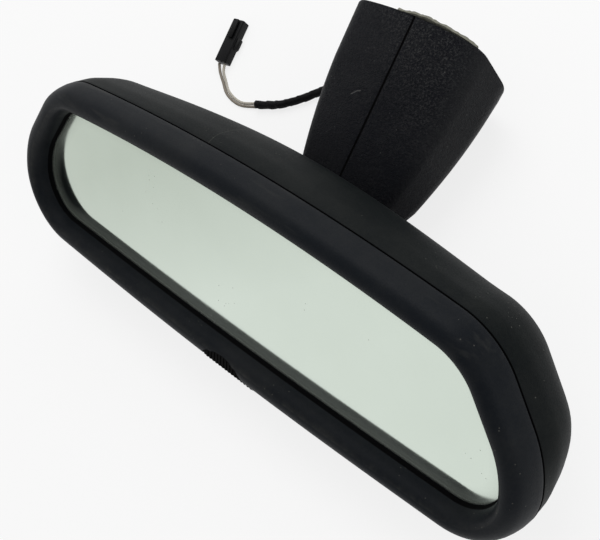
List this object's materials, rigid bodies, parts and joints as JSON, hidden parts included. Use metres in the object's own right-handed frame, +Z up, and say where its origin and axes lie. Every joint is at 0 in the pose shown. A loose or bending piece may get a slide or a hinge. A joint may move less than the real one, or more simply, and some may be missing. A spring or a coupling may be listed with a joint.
{
  "type": "interior rearview mirror",
  "caption": "Interior rearview mirror: dipping glass in a wide soft frame, on a ball joint and a covered stem with a bonded windscreen foot and a short lead.",
  "frame": {"origin": "middle of the footprint of head and cover on the table, without the lead", "axes": "lying on its back: +X along the head, to the right as its glass is looked at; +Y from the head towards the windscreen foot; +Z up from the table"},
  "size_m": [0.2504, 0.141, 0.0761],
  "materials": {
    "bezel_plastic": "satin, fine grain",
    "shell_plastic": "satin, fine grain",
    "cover_plastic": "fine sparkle grain, dusty",
    "lever_plastic": "satin",
    "inner_plastic": "plain",
    "mirror": "silvered, faint smudges",
    "foam": "soft foam",
    "nylon": "natural",
    "steel": "plated",
    "zinc": "die cast, plain",
    "adhesive": "foam adhesive",
    "torn_tape": "torn, dusty",
    "rubber": "matt",
    "cloth_tape": "matt cloth tape",
    "grey_wire": "matt sleeving",
    "pale_wire": "matt sleeving",
    "connector_plastic": "satin"
  },
  "bodies": {
    "mount": {"stem_arm": "zinc", "windscreen_foot": "zinc", "clamp_plate": "steel", "foot_screw_left": "steel", "foot_screw_right": "steel", "adhesive_pad": "adhesive", "tape_rest": "torn_tape", "lead_terminal": "nylon", "cover_left": "cover_plastic", "cover_right": "cover_plastic", "cable_grommet": "rubber", "cable_sleeve": "cloth_tape", "wire_a": "grey_wire", "wire_b": "pale_wire", "connector_body": "connector_plastic", "connector_latch": "connector_plastic", "contact_a": "steel", "contact_b": "steel"},
    "yaw_ring": {"ball_liner": "nylon"},
    "pitch_ring": {"ball_cup": "steel"},
    "carrier": {"pivot_carrier": "inner_plastic", "pivot_pin_left": "steel", "pivot_pin_right": "steel", "toggle_spring": "steel"},
    "head": {"bezel": "bezel_plastic", "mirror_glass": "mirror", "glass_pad": "foam", "backing_plate": "inner_plastic", "rear_shell": "shell_plastic", "stem_collar": "shell_plastic", "lever_pin": "steel"},
    "lever": {"dip_lever": "lever_plastic"}
  },
  "joints": [
    {"name": "head_yaw", "type": "hinge", "parent": "mount", "child": "yaw_ring", "pos_m": [0, -0.02401, 0.03073], "axis": [0, 0.719, 0.695], "range_deg": [-15, 15]},
    {"name": "head_pitch", "type": "hinge", "parent": "yaw_ring", "child": "pitch_ring", "pos_m": [0, -0.02401, 0.03073], "axis": [1, 0, 0], "range_deg": [-10, 12]},
    {"name": "head_roll", "type": "hinge", "parent": "pitch_ring", "child": "carrier", "pos_m": [0, -0.02401, 0.03073], "axis": [0, 0.695, -0.719], "range_deg": [-8, 8]},
    {"name": "dip", "type": "hinge", "parent": "carrier", "child": "head", "pos_m": [0, -0.01191, 0.05203], "axis": [-1, 0, 0], "range_deg": [0, 4.5]},
    {"name": "lever_turn", "type": "hinge", "parent": "head", "child": "lever", "pos_m": [0, -0.05782, 0.01765], "axis": [-1, 0, 0], "range_deg": [0, 22.5]}
  ],
  "couplings": [
    {"joint": "lever_turn", "follows": "dip", "ratio": 5}
  ]
}
